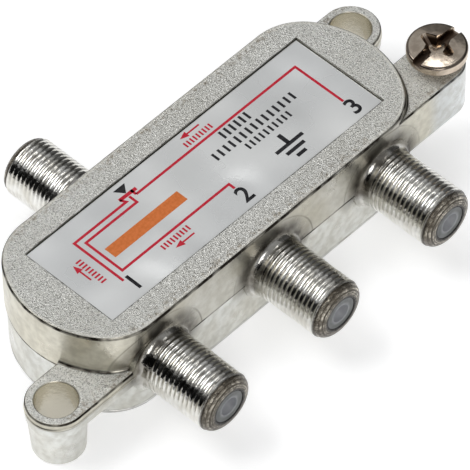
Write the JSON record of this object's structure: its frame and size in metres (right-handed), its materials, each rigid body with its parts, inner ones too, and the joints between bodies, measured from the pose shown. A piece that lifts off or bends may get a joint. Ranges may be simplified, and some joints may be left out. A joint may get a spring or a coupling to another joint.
{
  "type": "coaxial splitter",
  "caption": "Die-cast coaxial cable splitter with one threaded input, a row of threaded outputs, two mounting ears and an earth screw.",
  "frame": {"origin": "middle of the flat back, in the plane that it rests on", "axes": "+X along the case towards the earth screw, +Y towards the input side, +Z out of the label"},
  "size_m": [0.0864, 0.052, 0.0199],
  "materials": {
    "die_cast_zinc": "nickel-finished zinc casting, sand-blasted on its flat tops and satin on its walls",
    "tin_plate": "dull tinned sheet",
    "label_foil": "silver foil label with red lines and black print",
    "screw_steel": "bright nickel plate",
    "insulator_plastic": "milky natural plastic",
    "contact_brass": "plain brass",
    "board_laminate": "green lacquered laminate",
    "capacitor_ceramic": "tan ceramic with tinned ends",
    "resistor_film": "black film with tinned ends",
    "diode_epoxy": "black epoxy with tinned ends",
    "ferrite": "dark grey sintered ferrite",
    "enamelled_wire": "copper wire under red-brown enamel"
  },
  "bodies": {
    "case": {"housing": "die_cast_zinc", "back_cover": "tin_plate", "label": "label_foil", "circuit_board": "board_laminate", "insulator_in": "insulator_plastic", "contact_in": "contact_brass", "blocking_capacitor_in": "capacitor_ceramic", "insulator_out_1": "insulator_plastic", "contact_out_1": "contact_brass", "blocking_capacitor_out_1": "capacitor_ceramic", "insulator_out_2": "insulator_plastic", "contact_out_2": "contact_brass", "blocking_capacitor_out_2": "capacitor_ceramic", "insulator_out_3": "insulator_plastic", "contact_out_3": "contact_brass", "blocking_capacitor_out_3": "capacitor_ceramic", "pass_diode_1": "diode_epoxy", "pass_diode_2": "diode_epoxy", "pass_diode_3": "diode_epoxy", "match_core": "ferrite", "match_winding": "enamelled_wire", "split_1_core": "ferrite", "split_1_winding": "enamelled_wire", "split_2_core": "ferrite", "split_2_winding": "enamelled_wire", "balance_resistor_1": "resistor_film", "balance_resistor_2": "resistor_film"},
    "screw": {"ground_screw": "screw_steel"}
  },
  "joints": [
    {"name": "ground_screw_turn", "type": "hinge", "parent": "case", "child": "screw", "pos_m": [0.0387, -0.0085, 0.018], "axis": [0, 0, 1], "range_deg": [-925, 3180]}
  ]
}
